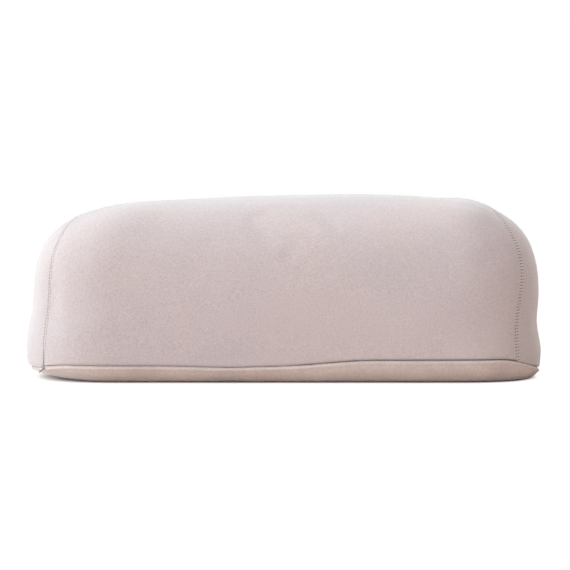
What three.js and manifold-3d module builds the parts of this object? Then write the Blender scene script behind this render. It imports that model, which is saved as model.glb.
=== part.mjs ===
// Lumbar support cushion: a moulded foam core in a thin liner, inside a sewn knit cover that comes
// off by a zip in the rear base seam. Millimetres, +Z up, +X along the width. The cushion lies on
// its flat underside, its steep long side faces -Y and the zip is at +Y.
import * as THREE from "three";
import { mergeVertices } from "three/addons/utils/BufferGeometryUtils.js";
import Module from "manifold-3d";

// ---- Driving dimensions ------------------------------------------------------------------------
const WIDTH = 380;
const DEPTH = 305;
const HEIGHT = 131;
const CREST_Y = -14; // the crest of the back support, a little towards the steep side
const BULGE_Z = 26; // height of the fullest section
const SEAM_Z = 13; // the base seam
const SEAM_INSET = 1.6; // how far the base seam lies inside the fullest section
const BASE_CURL = 26; // how far the base turns under before it lies flat
const WAIST = 3; // how far the ends are drawn in between the foot and the shoulder

// Superellipse powers of the crown, seen along the depth and along the width.
const CROWN_POWER = 4.6;
const END_POWER = 5.2;
const FRONT_POWER = 4.3;
const REAR_POWER = 3.3;
// Plan corners: their share of each half span, and the power of their curve.
const CORNER_SHARE_X = 0.36;
const CORNER_SHARE_Y = 0.52;
const CORNER_POWER = 2.4;

// The end seams lean inwards over the crown.
const END_SEAM_LOW = 0.873; // share of the half width at the foot
const END_SEAM_LEAN = 0.1; // share lost at the crest
const END_SEAM_POWER = 4;

// Layers, as depths below the outer face of the cover.
const COVER_THICKNESS = 1.2;
const LINER_OUTER = 2.2;
const LINER_INNER = 2.9;
const FOAM_OUTER = 3.9;
const ZIP_RELIEF = 1.8; // the liner and foam lie this much deeper behind the zip

const SEAM_GAP = 0.4; // between the crown panel and an end panel
const BASE_SEAM_GAP = 1; // between the base panel and the panels above it
const CLEARANCE = 0.3;
const SEAM_THREAD_LIFT = 0.8; // the rows of an end seam stand this far off the knit
const THREAD_RADIUS = 0.25;
const FINE_THREAD_RADIUS = 0.2; // of the threads that lie inside a seam
const NEEDLE_SPACING = 2.8; // between the two stitch rows of an end seam

const ZIP_HALF = 135; // half the length of the zip
const ZIP_Z = SEAM_Z + 3; // the middle of the chain
const ZIP_VALLEY = 3.6; // how deep the cover lies at the zip, below the fullest section
const ZIP_OPENING = 9.6; // height of the gap that shows the chain
const TAPE_THICKNESS = 0.6;
const TAPE_END = 4; // tape beyond each end of the chain
const COIL_THICKNESS = 1.6;
const COIL_WIDTH = 1.95;
const SLIDER_LENGTH = 9;
const SLIDER_START = 10; // from the closed end of the zip to the middle of the slider
const PULL_LENGTH = 24;

// Tessellation.
const HALF_COLUMNS = [0.45, 0.7, 0.86, 0.93, 1]; // shares of the way to the end seam
const EVEN_ARCH_STEPS = 22;
const REAR_FOOT_STEPS = 3; // the first step of the arch is divided again, where the zip valley lies
const END_RINGS = 5;
const BASE_RINGS = 5;
const THREAD_SIDES = 6;
const SEAM_THREAD_STEPS = 48;

// ---- The form of the cushion -------------------------------------------------------------------
const REAR_HALF = DEPTH / 2 - CREST_Y;
const FRONT_HALF = DEPTH / 2 + CREST_Y;

const WAIST_TOP = HEIGHT * 0.8; // the waist ends here, under the shoulder

const smooth = (low, high, value) => THREE.MathUtils.smoothstep(value, low, high);

// Half span of the section at height z, for a full half span and a crown power.
function halfSpan(full, power, z, layer) {
  const rise = Math.min(1, z / (HEIGHT - layer));
  return (full - layer) * Math.pow(1 - Math.pow(rise, CROWN_POWER), 1 / power);
}

// How far the side lies inside the fullest section, towards the base.
function footInset(z, layer) {
  if (z >= BULGE_Z) return 0;
  if (z >= SEAM_Z) {
    return SEAM_INSET * Math.pow((BULGE_Z - z) / (BULGE_Z - SEAM_Z), 2);
  }
  const turn = Math.min(1, (SEAM_Z - z) / (SEAM_Z - layer));
  return SEAM_INSET + BASE_CURL * (1 - Math.sqrt(1 - turn * turn));
}

// The ends are drawn in between the foot and the shoulder.
function waistInset(z) {
  const share = (z - SEAM_Z) / (WAIST_TOP - SEAM_Z);
  return WAIST * Math.sin(Math.PI * THREE.MathUtils.clamp(share, 0, 1));
}

// The knit lies in a straight valley along the zip, and so do the layers under it.
const VALLEY_END = 7; // the valley starts to rise this far beyond the zip
const VALLEY_RISE = 20;
const VALLEY_BOTTOM = [1, 6]; // heights between which it opens, from below
const VALLEY_TOP = [26, 44]; // and closes
const valleyAlong = (x) => {
  const beyond = Math.abs(x) - ZIP_HALF - VALLEY_END;
  return 1 - smooth(0, VALLEY_RISE, beyond);
};
const valleyAcross = (z) => smooth(...VALLEY_BOTTOM, z) * (1 - smooth(...VALLEY_TOP, z));

function outlineRatio(x, y, z, layer) {
  const rear = y > CREST_Y;
  const inset = footInset(z, layer);
  const halfX = halfSpan(WIDTH / 2, END_POWER, z, layer) - inset - waistInset(z);
  const fullY = rear ? REAR_HALF : FRONT_HALF;
  const powerY = rear ? REAR_POWER : FRONT_POWER;
  const halfY = halfSpan(fullY, powerY, z, layer) - inset;
  const straightX = rear ? x * (1 - valleyAlong(x) * valleyAcross(z)) : x;
  const cornerX = halfX * CORNER_SHARE_X;
  const cornerY = halfY * CORNER_SHARE_Y;
  const u = Math.max(0, Math.abs(straightX) - (halfX - cornerX)) / cornerX;
  const v = Math.max(0, Math.abs(y - CREST_Y) - (halfY - cornerY)) / cornerY;
  return Math.pow(u, CORNER_POWER) + Math.pow(v, CORNER_POWER);
}

// Depth of the rear wall of a layer in the zip valley, measured from the rear.
const valleyDepth = (layer) => {
  const relief = layer < LINER_OUTER ? 0 : ZIP_RELIEF;
  return ZIP_VALLEY + layer + relief;
};

function isInside({ x, y, z }, layer) {
  if (z >= HEIGHT - layer || z <= layer) return false;
  if (outlineRatio(x, y, z, layer) > 1) return false;
  const weight = valleyAlong(x) * valleyAcross(z);
  if (y < CREST_Y || weight === 0) return true;
  // The wall at this height without the valley, at the straight middle of the rear.
  const wall = CREST_Y + halfSpan(REAR_HALF, REAR_POWER, z, layer) - footInset(z, layer);
  const valley = DEPTH / 2 - valleyDepth(layer);
  return y <= THREE.MathUtils.lerp(wall, Math.min(wall, valley), weight);
}

// The point where pathAt(r), which leaves the inside once, crosses the face of a layer.
function findFace(pathAt, layer) {
  let near = 0;
  let far = WIDTH;
  for (let step = 0; step < 40; step++) {
    const middle = (near + far) / 2;
    if (isInside(pathAt(middle), layer)) near = middle;
    else far = middle;
  }
  return pathAt(near);
}

const seamX = (z) => {
  const rise = THREE.MathUtils.clamp(z / HEIGHT, 0, 1);
  return (WIDTH / 2) * (END_SEAM_LOW - END_SEAM_LEAN * Math.pow(rise, END_SEAM_POWER));
};

const FLOOR_Z = SEAM_Z + BASE_SEAM_GAP / 2; // lower edge of the crown and end panels

// A point of the arch at a share of the way to the end seam. The angle runs from 0 at the rear foot
// over the crest to PI at the front foot.
function archPoint(share, angle, layer, shift = 0) {
  const path = (r) => {
    const z = FLOOR_Z + r * Math.sin(angle);
    const x = share * (seamX(z) + shift);
    return new THREE.Vector3(x, CREST_Y + r * Math.cos(angle), z);
  };
  const point = findFace(path, layer);
  const isFoot = angle === 0 || angle === Math.PI;
  if (isFoot) point.z = FLOOR_Z;
  return point;
}

// Angles that space the arch evenly, and more closely at the rear foot.
function archAngles(count) {
  const fine = 400;
  const lengths = [0];
  let last = archPoint(0, 0, 0);
  for (let i = 1; i <= fine; i++) {
    const next = archPoint(0, (Math.PI * i) / fine, 0);
    lengths.push(lengths[i - 1] + next.distanceTo(last));
    last = next;
  }
  const even = [];
  for (let i = 1; i < count; i++) {
    const wanted = (lengths[fine] * i) / count;
    even.push((Math.PI * lengths.findIndex((length) => length >= wanted)) / fine);
  }
  const foot = Array.from({ length: REAR_FOOT_STEPS }, (_, i) => (even[0] * i) / REAR_FOOT_STEPS);
  return [...foot, ...even, Math.PI];
}

const ARCH_ANGLES = archAngles(EVEN_ARCH_STEPS);
const ALONG_ARCH = ARCH_ANGLES.length - 1;

// ---- Meshing helpers ---------------------------------------------------------------------------
const WELD = 1e-4;

// A closed geometry from three corners a triangle, without the triangles that have shrunk to a line.
function geometryOf(corners) {
  const solidCorners = [];
  for (let i = 0; i < corners.length; i += 3) {
    const [a, b, c] = corners.slice(i, i + 3);
    const isFlat = a.distanceTo(b) < WELD || b.distanceTo(c) < WELD || c.distanceTo(a) < WELD;
    if (!isFlat) solidCorners.push(a, b, c);
  }
  const positions = new Float32Array(solidCorners.flatMap((point) => point.toArray()));
  const geometry = new THREE.BufferGeometry();
  geometry.setAttribute("position", new THREE.BufferAttribute(positions, 3));
  return mergeVertices(geometry, WELD);
}

// Triangles of a grid of points, rows[i][j], turned so that the faces look along i cross j.
function gridTriangles(rows, flip = false) {
  const triangles = [];
  for (let i = 0; i + 1 < rows.length; i++) {
    for (let j = 0; j + 1 < rows[i].length; j++) {
      const [a, b] = [rows[i][j], rows[i + 1][j]];
      const [c, d] = [rows[i + 1][j + 1], rows[i][j + 1]];
      triangles.push(...(flip ? [a, c, b, a, d, c] : [a, b, c, a, c, d]));
    }
  }
  return triangles;
}

const column = (rows, j) => rows.map((row) => row[j]);

// A closed sheet between an outer and an inner grid of the same size.
function sheetGeometry(outer, inner) {
  const lastRow = outer.length - 1;
  const lastColumn = outer[0].length - 1;
  return geometryOf([
    ...gridTriangles(outer),
    ...gridTriangles(inner, true),
    ...gridTriangles([outer[0], inner[0]], true),
    ...gridTriangles([outer[lastRow], inner[lastRow]]),
    ...gridTriangles([column(outer, 0), column(inner, 0)]),
    ...gridTriangles([column(outer, lastColumn), column(inner, lastColumn)], true),
  ]);
}

const COLUMNS = [...HALF_COLUMNS.map((share) => -share).reverse(), 0, ...HALF_COLUMNS];

function crownGrid(layer, shift = 0) {
  return ARCH_ANGLES.map((angle) => COLUMNS.map((share) => archPoint(share, angle, layer, shift)));
}

// The end panel as a fan of lines from the middle of its foot to the seam.
function endGrid(side, layer, shift = 0) {
  const origin = new THREE.Vector3(side * WIDTH * 0.3, CREST_Y, FLOOR_Z);
  const footPath = (r) => new THREE.Vector3(side * r, CREST_Y, FLOOR_Z);
  const foot = findFace(footPath, layer);
  return ARCH_ANGLES.map((angle) => {
    const seam = archPoint(side, angle, layer, shift);
    return Array.from({ length: END_RINGS + 1 }, (_, i) => {
      if (i === 0) return foot;
      if (i === END_RINGS) return seam;
      const target = foot.clone().lerp(seam, i / END_RINGS);
      const direction = target.sub(origin).normalize();
      return findFace((r) => origin.clone().addScaledVector(direction, r), layer);
    });
  });
}

// Points round the foot, anticlockwise from above, with the tessellation of the panels above.
function footLoop(layer) {
  const crown = crownGrid(layer);
  const right = endGrid(1, layer);
  const left = endGrid(-1, layer);
  const rear = crown[0].slice(0, -1).reverse();
  const front = crown[ALONG_ARCH].slice(1);
  return [
    ...front,
    ...right[ALONG_ARCH].slice(0, -1).reverse(),
    ...right[0].slice(1),
    ...rear,
    ...left[0].slice(0, -1).reverse(),
    ...left[ALONG_ARCH].slice(1),
  ];
}

const FLAT_LIFT = 0.001; // the rim of the flat underside is looked for this much above it

// Rings of the base, from just under the seam down the turned edge to where it lies flat.
function baseRings(layer, topZ) {
  const centre = new THREE.Vector3(0, CREST_Y, 0);
  return Array.from({ length: BASE_RINGS + 1 }, (_, i) => {
    const turn = (Math.PI / 2) * (1 - i / BASE_RINGS);
    const z = layer + (topZ - layer) * (1 - Math.cos(turn));
    const isFlat = i === BASE_RINGS;
    const searchZ = isFlat ? layer + FLAT_LIFT : z;
    return footLoop(layer).map((foot) => {
      const direction = foot.clone().sub(centre).setZ(0).normalize();
      const path = (r) => centre.clone().addScaledVector(direction, r).setZ(searchZ);
      return findFace(path, layer).setZ(isFlat ? layer : z);
    });
  });
}

const closeLoop = (ring) => [...ring, ring[0]];

function flatTriangles(ring, flip) {
  const middle = new THREE.Vector3(0, CREST_Y, ring[0].z);
  const points = closeLoop(ring);
  return points.slice(1).flatMap((point, i) => {
    return flip ? [middle, points[i], point] : [middle, point, points[i]];
  });
}

// ---- Booleans ----------------------------------------------------------------------------------
const wasm = await Module();
wasm.setup();

function solidOf(geometry) {
  const bare = geometry.clone();
  bare.deleteAttribute("normal");
  bare.deleteAttribute("uv");
  const merged = mergeVertices(bare, WELD);
  return new wasm.Manifold(
    new wasm.Mesh({
      numProp: 3,
      vertProperties: merged.attributes.position.array,
      triVerts: new Uint32Array(merged.index.array),
    }),
  );
}

function geometryFrom(solid) {
  const mesh = solid.getMesh();
  const geometry = new THREE.BufferGeometry();
  geometry.setAttribute("position", new THREE.BufferAttribute(mesh.vertProperties, 3));
  geometry.setIndex(new THREE.BufferAttribute(mesh.triVerts, 1));
  return geometry;
}

const cut = (geometry, tool) => geometryFrom(solidOf(geometry).subtract(solidOf(tool)));
const join = (geometries) => geometryFrom(geometries.map(solidOf).reduce((a, b) => a.add(b)));

function boxBetween(low, high) {
  const size = new THREE.Vector3().subVectors(high, low);
  const middle = new THREE.Vector3().addVectors(low, high).multiplyScalar(0.5);
  const box = new THREE.BoxGeometry(size.x, size.y, size.z);
  return box.translate(middle.x, middle.y, middle.z);
}

const vector = (x, y, z) => new THREE.Vector3(x, y, z);

// ---- Materials and the scene graph -------------------------------------------------------------
const knit = { color: 0xcdbfbf, roughness: 0.9, metalness: 0 };
const knitThread = { color: 0xbdb0b0, roughness: 0.7, metalness: 0 };
const tapeWeave = { color: 0xb9acab, roughness: 0.85, metalness: 0 };
const coilNylon = { color: 0xa99d9c, roughness: 0.45, metalness: 0 };
const zincAlloy = { color: 0xb4b4b6, roughness: 0.3, metalness: 1 };
const foamSkin = { color: 0xece6d8, roughness: 0.95, metalness: 0 };
const linerKnit = { color: 0xf1f0ee, roughness: 0.9, metalness: 0 };
const satin = { color: 0xf6f5f2, roughness: 0.5, metalness: 0 };

const cushion = new THREE.Group();
cushion.name = "lumbar_support_cushion";

function addPiece(parent, name, geometry, finish) {
  const mesh = new THREE.Mesh(geometry, new THREE.MeshStandardMaterial(finish));
  mesh.name = name;
  parent.add(mesh);
}

// ---- Foam core and liner -----------------------------------------------------------------------
// The whole closed face of a layer: crown, ends, turned edge and flat underside.
function layerTriangles(layer, flip) {
  const rings = baseRings(layer, FLOOR_Z).map(closeLoop);
  return [
    ...gridTriangles(crownGrid(layer), flip),
    ...gridTriangles(endGrid(1, layer), !flip),
    ...gridTriangles(endGrid(-1, layer), flip),
    ...gridTriangles(rings, flip),
    ...flatTriangles(rings[BASE_RINGS].slice(0, -1), flip),
  ];
}

// The liner is closed by hand in a slit across its rear.
const LINER_SLIT = { half: 60, z: 70, height: 1 };
const SLIT_END_MARGIN = 2;

function linerGeometry() {
  const hollow = geometryOf([
    ...layerTriangles(LINER_OUTER, false),
    ...layerTriangles(LINER_INNER, true),
  ]);
  const { half, z, height } = LINER_SLIT;
  const slit = boxBetween(
    vector(-half, DEPTH / 4, z - height / 2),
    vector(half, DEPTH, z + height / 2),
  );
  return cut(hollow, slit);
}

// A thread with a round section along a smooth open line.
function threadGeometry(points, radius, steps) {
  const section = new THREE.Shape();
  section.absarc(0, 0, radius, 0, 2 * Math.PI);
  const extrudePath = new THREE.CatmullRomCurve3(points, false, "centripetal");
  return new THREE.ExtrudeGeometry(section, {
    extrudePath,
    steps,
    curveSegments: THREAD_SIDES / 2,
    bevelEnabled: false,
  });
}

function linerStitchGeometry() {
  const middle = (LINER_OUTER + LINER_INNER) / 2;
  const { half, z } = LINER_SLIT;
  const ends = [-half, half].map((x) => {
    const path = (r) => vector(x * (1 - SLIT_END_MARGIN / half), CREST_Y + r, z);
    return findFace(path, middle);
  });
  return threadGeometry(ends, FINE_THREAD_RADIUS, 1);
}

const inside = new THREE.Group();
cushion.add(inside);
addPiece(inside, "foam_core", geometryOf(layerTriangles(FOAM_OUTER, false)), foamSkin);
addPiece(inside, "foam_liner", linerGeometry(), linerKnit);
addPiece(inside, "liner_closing_stitch", linerStitchGeometry(), knitThread);

// ---- Cover -------------------------------------------------------------------------------------
const chainY = DEPTH / 2 - ZIP_VALLEY; // outer face of the knit beside the zip
const zipOpening = boxBetween(
  vector(-ZIP_HALF, DEPTH / 4, ZIP_Z - ZIP_OPENING / 2),
  vector(ZIP_HALF, DEPTH, ZIP_Z + ZIP_OPENING / 2),
);

function crownPanelGeometry() {
  const shift = -SEAM_GAP / 2;
  const sheet = sheetGeometry(crownGrid(0, shift), crownGrid(COVER_THICKNESS, shift));
  return cut(sheet, zipOpening);
}

function endPanelGeometry(side) {
  const shift = SEAM_GAP / 2;
  const outer = endGrid(side, 0, shift);
  const inner = endGrid(side, COVER_THICKNESS, shift);
  return side > 0 ? sheetGeometry(inner, outer) : sheetGeometry(outer, inner);
}

function basePanelGeometry() {
  const top = SEAM_Z - BASE_SEAM_GAP / 2;
  const outer = baseRings(0, top).map(closeLoop);
  const inner = baseRings(COVER_THICKNESS, top).map(closeLoop);
  const tray = geometryOf([
    ...gridTriangles(outer),
    ...gridTriangles(inner, true),
    ...gridTriangles([outer[0], inner[0]], true),
    ...flatTriangles(outer[BASE_RINGS].slice(0, -1), false),
    ...flatTriangles(inner[BASE_RINGS].slice(0, -1), true),
  ]);
  return cut(tray, zipOpening);
}

const SEAM_THREAD_MARGIN = 0.003; // share of the arch left free at each foot
const BASE_THREAD_MARGIN = 2; // beyond the zip
const STEPS_PER_POINT = 3;

// One stitch row of an end seam, lying on the knit beside the seam.
function endSeamThread(side, offset) {
  const points = Array.from({ length: SEAM_THREAD_STEPS + 1 }, (_, i) => {
    const share = SEAM_THREAD_MARGIN + ((1 - 2 * SEAM_THREAD_MARGIN) * i) / SEAM_THREAD_STEPS;
    return archPoint(side, Math.PI * share, -SEAM_THREAD_LIFT, offset);
  });
  return threadGeometry(points, THREAD_RADIUS, SEAM_THREAD_STEPS);
}

// The thread of the base seam lies between the panels, from one end of the zip to the other.
function baseSeamThread() {
  const depth = COVER_THICKNESS / 2;
  const loop = footLoop(depth).map((point) => point.setZ(SEAM_Z));
  const isZip = (point) => point.y > 0 && Math.abs(point.x) < ZIP_HALF + BASE_THREAD_MARGIN;
  const first = loop.findIndex(isZip);
  const turned = [...loop.slice(first), ...loop.slice(0, first)];
  const points = turned.filter((point) => !isZip(point));
  return threadGeometry(points, FINE_THREAD_RADIUS, points.length * STEPS_PER_POINT);
}

const cover = new THREE.Group();
cushion.add(cover);
addPiece(cover, "cover_crown_panel", crownPanelGeometry(), knit);
addPiece(cover, "cover_base_panel", basePanelGeometry(), knit);
addPiece(cover, "base_seam_thread", baseSeamThread(), knitThread);
for (const [side, label] of [
  [-1, "left"],
  [1, "right"],
]) {
  addPiece(cover, `cover_end_panel_${label}`, endPanelGeometry(side), knit);
  for (const [half, row] of [
    [-1, "inner"],
    [1, "outer"],
  ]) {
    const thread = endSeamThread(side, (half * NEEDLE_SPACING) / 2);
    addPiece(cover, `end_seam_thread_${label}_${row}`, thread, knitThread);
  }
}

// ---- Zip ---------------------------------------------------------------------------------------
// The zip is built in its own group: x along the chain, y outwards from the knit beside it, z across.
const zip = new THREE.Group();
zip.position.set(0, chainY, ZIP_Z);
cushion.add(zip);

// A flat outline in x and z, extruded from one y to another.
function slab(points, lowY, highY, hole) {
  const shape = new THREE.Shape(points.map(([x, z]) => new THREE.Vector2(x, z)));
  if (hole) shape.holes.push(new THREE.Path(hole.map(([x, z]) => new THREE.Vector2(x, z))));
  const geometry = new THREE.ExtrudeGeometry(shape, {
    depth: highY - lowY,
    bevelEnabled: false,
    curveSegments: 6,
  });
  return geometry.rotateX(Math.PI / 2).translate(0, highY, 0);
}

const rectangle = (x0, x1, z0, z1) => [
  [x0, z0],
  [x1, z0],
  [x1, z1],
  [x0, z1],
];
const mirror = (points) => points.map(([x, z]) => [x, -z]);
const symmetric = (points) => [...points, ...mirror(points).reverse()];

const TAPE_EDGE = 1; // from the middle of the chain to the edge of a tape
const TAPE_WIDTHS = { upper: 8, lower: 5.5 }; // the lower one is trimmed at the turned edge
const tapeOuterY = -COVER_THICKNESS - CLEARANCE;
const sliderStartX = -ZIP_HALF + SLIDER_START;

const TAPE_STEPS = 5;

// A tape follows the inner face of the knit, so its section bends with the turned edge below.
function tapeGeometry(direction, width) {
  const faceAt = (layer) =>
    Array.from({ length: TAPE_STEPS + 1 }, (_, i) => {
      const z = direction * (TAPE_EDGE + (width * i) / TAPE_STEPS);
      const path = (r) => vector(0, CREST_Y + r, ZIP_Z + z);
      return [findFace(path, layer).y - chainY, z];
    });
  const outer = faceAt(-tapeOuterY);
  const inner = faceAt(-tapeOuterY + TAPE_THICKNESS);
  const outline = [...outer, ...inner.reverse()].map(([y, z]) => new THREE.Vector2(z, y));
  const length = 2 * (ZIP_HALF + TAPE_END);
  const geometry = new THREE.ExtrudeGeometry(new THREE.Shape(outline), {
    depth: length,
    bevelEnabled: false,
  });
  // The section's x is z here, its y stays y, and its depth runs along x.
  const turn = new THREE.Matrix4().makeBasis(vector(0, 0, 1), vector(0, 1, 0), vector(-1, 0, 0));
  return geometry.applyMatrix4(turn).translate(length / 2, 0, 0);
}

const COIL_LOW = -1.4;
const SPLAY = 0.85; // how far each coil is pushed aside by the slider's post
const MEET_AHEAD = 0.5; // the coils meet this far ahead of the slider's middle
const APART_BEHIND = 1.9; // and are fully apart this far behind it
const coilEnd = ZIP_HALF - 4; // at the bottom stop
const coilStart = -ZIP_HALF + 3; // at the top stops

// One coil: straight along the closed chain, pushed aside in the mouth of the slider.
function coilOutline() {
  const near = CLEARANCE / 2;
  const far = near + COIL_WIDTH;
  const meet = sliderStartX + MEET_AHEAD;
  const apart = sliderStartX - APART_BEHIND;
  return [
    [coilEnd, near],
    [meet, near],
    [apart, near + SPLAY],
    [coilStart, near + SPLAY],
    [coilStart, far + SPLAY],
    [apart, far + SPLAY],
    [meet, far],
    [coilEnd, far],
  ];
}

// The stops are small clamped plates on the tapes.
const STOP_HIGH = 0.5;
const TOP_STOP = { length: 2, near: 0.9, far: 3.2 };
const BOTTOM_STOP = { length: 2.6, half: 2.4 };
const TOPSTITCH_MARGIN = 2; // from the opening to the row of stitches beside it
const stopLow = tapeOuterY + CLEARANCE;

function topStopOutline() {
  const x = coilStart - CLEARANCE;
  return rectangle(x - TOP_STOP.length, x, TOP_STOP.near, TOP_STOP.far);
}

function bottomStopOutline() {
  const x = coilEnd + CLEARANCE;
  return rectangle(x, x + BOTTOM_STOP.length, -BOTTOM_STOP.half, BOTTOM_STOP.half);
}

function topstitch(direction) {
  const z = direction * (ZIP_OPENING / 2 + TOPSTITCH_MARGIN);
  const path = (r) => vector(0, CREST_Y + r, ZIP_Z + z);
  const y = findFace(path, -(CLEARANCE + THREAD_RADIUS)).y - chainY;
  const ends = [-ZIP_HALF, ZIP_HALF].map((x) => vector(x, y, z));
  return threadGeometry(ends, THREAD_RADIUS, 1);
}

for (const [direction, label] of [
  [1, "upper"],
  [-1, "lower"],
]) {
  const coil = direction > 0 ? coilOutline() : mirror(coilOutline());
  const stop = direction > 0 ? topStopOutline() : mirror(topStopOutline());
  const tape = tapeGeometry(direction, TAPE_WIDTHS[label]);
  addPiece(zip, `zip_tape_${label}`, tape, tapeWeave);
  addPiece(zip, `zip_coil_${label}`, slab(coil, COIL_LOW, COIL_LOW + COIL_THICKNESS), coilNylon);
  addPiece(zip, `zip_top_stop_${label}`, slab(stop, stopLow, STOP_HIGH), zincAlloy);
  addPiece(zip, `zip_topstitch_${label}`, topstitch(direction), knitThread);
}
const bottomStop = slab(bottomStopOutline(), stopLow, STOP_HIGH);
addPiece(zip, "zip_bottom_stop", bottomStop, zincAlloy);

// The slider: two plates joined by the post, with rims that guide the coils, and a bail on top.
const PLATE = 0.9; // thickness
const plateTop = 1.4;
const NOSE_HALF = 3.3; // half width at the closed end,
const MOUTH_HALF = 4.2; // and at the mouth, where the coils part
const NOSE_X = 1; // the plates widen between these two
const MOUTH_X = -1.5;
const RIM = 0.85; // width of the rims that guide the coils
const POST = { back: -4, front: -2.2, half: 0.7 };
const BAIL = { half: 2.3, side: 0.8, wall: 0.7, roof: 0.6 };
const PIVOT_RISE = 0.75; // from the plate to the bar of the pull tab
const BAIL_RISE = 1.35; // from the bar to the top of the bail
const OVERLAP = 0.1; // of the joined pieces
const plateUnder = plateTop - PLATE;
const backTop = tapeOuterY - TAPE_THICKNESS - CLEARANCE;
const pivotY = plateTop + PIVOT_RISE;

// The plates' outline, made narrower by the rim and longer by an extra for the channel.
function plateOutline(rim, extra) {
  const half = SLIDER_LENGTH / 2 + extra;
  return symmetric([
    [half, NOSE_HALF - rim],
    [NOSE_X, NOSE_HALF - rim],
    [MOUTH_X, MOUTH_HALF - rim],
    [-half, MOUTH_HALF - rim],
  ]);
}

function sliderGeometry() {
  const plate = plateOutline(0, 0);
  const channel = plateOutline(RIM, 1);
  const rimLow = tapeOuterY + CLEARANCE;
  const front = cut(slab(plate, rimLow, plateTop), slab(channel, rimLow - 1, plateUnder));
  const back = slab(plate, backTop - PLATE, backTop);
  const postPlan = rectangle(POST.back, POST.front, -POST.half, POST.half);
  const post = slab(postPlan, backTop - OVERLAP, plateUnder + OVERLAP);
  const bailTop = pivotY + BAIL_RISE;
  const bailPlan = rectangle(-BAIL.half, BAIL.half, -BAIL.side, BAIL.side);
  const archHalf = BAIL.half - BAIL.wall;
  const archPlan = rectangle(-archHalf, archHalf, -BAIL.side - OVERLAP, BAIL.side + OVERLAP);
  const bail = cut(
    slab(bailPlan, plateTop - OVERLAP, bailTop),
    slab(archPlan, plateTop, bailTop - BAIL.roof),
  );
  return join([front, back, post, bail]);
}

// The pull tab: an eye whose bar lies in the bail, and a grip that widens.
const PULL = { thickness: 0.9, eyeHalf: 2.3, gripHalf: 3.2, endHalf: 1.6, neck: 8, shoulder: 6 };
const EYE = { end: 5.2, half: 1.25 };

function pullGeometry() {
  const half = PULL.thickness / 2;
  const outline = symmetric([
    [PULL_LENGTH, PULL.endHalf],
    [PULL_LENGTH - PULL.endHalf, PULL.gripHalf],
    [PULL_LENGTH - PULL.shoulder, PULL.gripHalf],
    [PULL.neck, PULL.eyeHalf],
    [-half, PULL.eyeHalf],
  ]);
  const eye = rectangle(half, EYE.end, -EYE.half, EYE.half);
  return slab(outline, -half, half, eye.reverse());
}

const slider = new THREE.Group();
slider.position.x = sliderStartX;
zip.add(slider);
addPiece(slider, "zip_slider", sliderGeometry(), zincAlloy);
const pull = new THREE.Group();
pull.position.y = pivotY;
slider.add(pull);
addPiece(pull, "zip_pull_tab", pullGeometry(), zincAlloy);

// ---- Care label --------------------------------------------------------------------------------
// A blank satin label lies between the base panel and the liner, near the zip.
const LABEL = { width: 30, length: 55, thickness: 0.2, x: -95, y: 80, lift: 0.4 };
const labelLow = COVER_THICKNESS + LABEL.lift;
const label = boxBetween(
  vector(LABEL.x - LABEL.width / 2, LABEL.y - LABEL.length / 2, labelLow),
  vector(LABEL.x + LABEL.width / 2, LABEL.y + LABEL.length / 2, labelLow + LABEL.thickness),
);
addPiece(inside, "care_label", label, satin);

export default cushion;
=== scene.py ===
"""Lumbar support cushion: a moulded foam block in a knitted cover with two end panels, a turned-up
base and a zip along its rear foot. Lengths are in millimetres until a mesh is made."""

import math

import bmesh
import bpy
import numpy as np
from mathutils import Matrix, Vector
from mathutils.kdtree import KDTree


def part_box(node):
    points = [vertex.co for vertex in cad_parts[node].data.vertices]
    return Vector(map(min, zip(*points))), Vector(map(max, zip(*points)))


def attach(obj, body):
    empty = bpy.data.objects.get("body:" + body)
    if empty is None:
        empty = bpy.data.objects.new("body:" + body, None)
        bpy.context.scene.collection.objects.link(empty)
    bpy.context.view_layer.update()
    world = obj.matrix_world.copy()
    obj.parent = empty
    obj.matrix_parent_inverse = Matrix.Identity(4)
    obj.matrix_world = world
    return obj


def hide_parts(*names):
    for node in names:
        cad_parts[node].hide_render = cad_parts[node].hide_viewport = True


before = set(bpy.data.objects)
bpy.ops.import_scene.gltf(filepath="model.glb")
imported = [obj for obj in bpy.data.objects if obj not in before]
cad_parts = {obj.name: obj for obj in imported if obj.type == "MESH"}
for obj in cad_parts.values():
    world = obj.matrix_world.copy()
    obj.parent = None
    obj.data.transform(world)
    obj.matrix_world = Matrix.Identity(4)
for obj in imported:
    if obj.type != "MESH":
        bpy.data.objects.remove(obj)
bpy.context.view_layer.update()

MM = 0.001

# ---- Form ----------------------------------------------------------------------------------------
WIDTH = 380
DEPTH = 305
HEIGHT = 131
CREST_Y = -14  # the crest lies a little in front of the middle
SEAM_Z = 13  # base seam
SEAM_INSET = 0.7
BULGE_Z = 24  # fullest section
REAR_CURL = 26  # how far the turned edge reaches under the cushion
FRONT_CURL = 18
LEFT_CURL = 34
RIGHT_CURL = 9
FOOT_TRIMS = (1.8, 0.3)  # how far inside the full width the left and right ends are at the foot,
WAIST_TRIMS = (3.7, 3.3)  # at the waist
TOP_TRIMS = (0.3, 2.8)  # and at the shoulder
WAIST_STARTS = ((28, 18), (52, 42))  # the flare of the foot, lower and upper ends, left and right
SHOULDER_START = 60
SHOULDER_END = 108
CROWN_POWER = 5.0
END_POWERS = (5.61, 4.34)  # left and right
FRONT_POWER = 4.3
REAR_POWER = 3.3
CORNER_SHARE_X = 0.36
CORNER_SHARE_Y = 0.52
CORNER_POWER = 2.4
REAR_HALF = DEPTH / 2 - CREST_Y
FRONT_HALF = DEPTH / 2 + CREST_Y
TILT = 0.039  # the right end is this share higher than the middle, the left end lower
LEAN = 5  # the crown leans to the right by this at the top
SEAM_LOWS = (0.89, 0.873)  # share of the half width at the foot of each end seam
SEAM_LEANS = (0.15, 0.16)  # and how much nearer to the middle it is at the crest
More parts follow.
